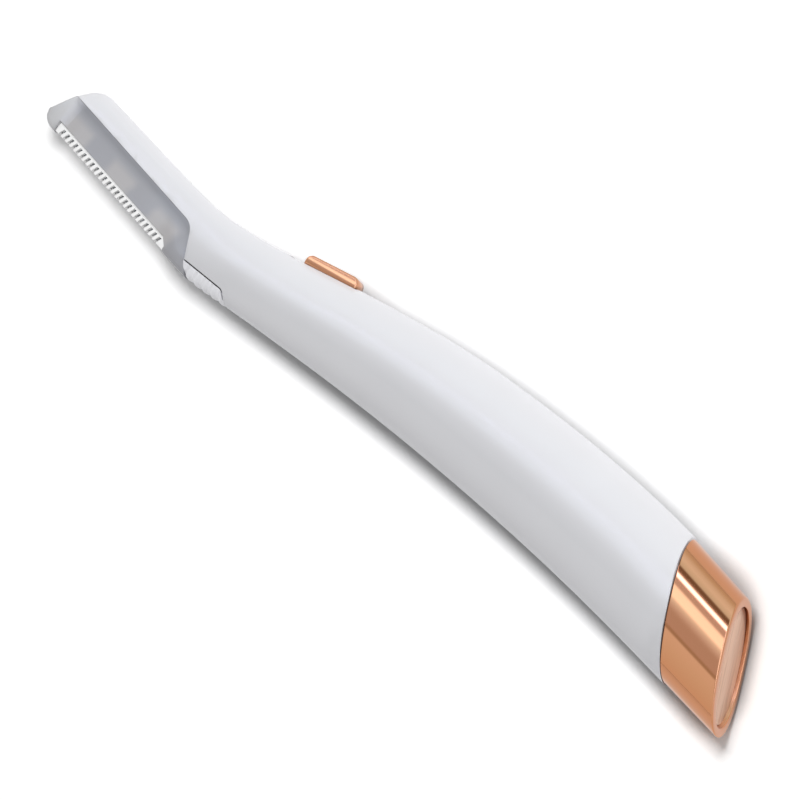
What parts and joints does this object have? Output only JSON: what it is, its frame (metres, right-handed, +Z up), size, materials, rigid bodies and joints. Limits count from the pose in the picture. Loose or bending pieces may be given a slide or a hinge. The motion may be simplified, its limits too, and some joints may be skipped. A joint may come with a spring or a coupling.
{
  "type": "facial shaver",
  "caption": "Curved battery handle with a slide switch, a pull-off battery cap and a slide-off blade cartridge with a comb guard for shaving facial hair.",
  "frame": {"origin": "bottom centre of the bounding box, with the shaver lying on its right side on the ground plane", "axes": "+X from the tip of the blade arm to the tail, +Y towards the switch side of the handle, +Z up through the left side, which the picture shows; the parting plane of the two shells is parallel to the ground"},
  "size_m": [0.1674, 0.0246, 0.017],
  "materials": {
    "white_gloss": "glossy white moulded plastic",
    "rose_gold": "bright rose gold plated plastic",
    "satin_rose_gold": "satin rose gold plated plastic",
    "smoke_plastic": "smoke grey translucent plastic",
    "comb_white": "white satin plastic",
    "frame_white": "white satin plastic",
    "blade_steel": "ground stainless steel",
    "nickel": "nickel-plated sheet and wire",
    "cell_metal": "nickel-plated can of the cell",
    "cell_sleeve": "bare shrink sleeve of the cell",
    "board_green": "green lacquered circuit board",
    "black_plastic": "black plastic",
    "clear_acrylic": "clear moulded plastic",
    "copper_wire": "lacquered copper winding",
    "red_wire": "red wire insulation"
  },
  "bodies": {
    "handle": {"left_housing": "white_gloss", "right_housing": "white_gloss", "switch_case": "nickel", "circuit_board": "board_green", "boost_inductor": "copper_wire", "driver_chip": "black_plastic", "capacitor": "frame_white", "led": "clear_acrylic", "light_pipe": "clear_acrylic", "battery_can": "cell_metal", "battery_sleeve": "cell_sleeve", "battery_tube": "frame_white", "positive_contact": "nickel", "negative_strip": "nickel", "positive_wire": "red_wire", "negative_wire": "black_plastic"},
    "cap": {"tail_cap": "rose_gold", "cap_end_plate": "satin_rose_gold", "cap_plug": "frame_white", "cap_contact": "nickel", "cap_spring": "nickel"},
    "switch": {"switch_slider": "rose_gold", "switch_lever": "black_plastic"},
    "cartridge": {"cartridge_frame": "frame_white", "blade_cover_left": "smoke_plastic", "blade_cover_right": "smoke_plastic", "blade": "blade_steel", "comb_guard": "comb_white"}
  },
  "joints": [
    {"name": "cap_pull", "type": "slide", "parent": "handle", "child": "cap", "axis": [0.9964, -0.0845, 0], "range_m": [0, 0.03]},
    {"name": "switch_slide", "type": "slide", "parent": "handle", "child": "switch", "axis": [-0.9759, -0.2181, 0], "range_m": [0, 0.0025]},
    {"name": "cartridge_slide", "type": "slide", "parent": "handle", "child": "cartridge", "axis": [-1, 0, 0], "range_m": [0, 0.055]}
  ]
}
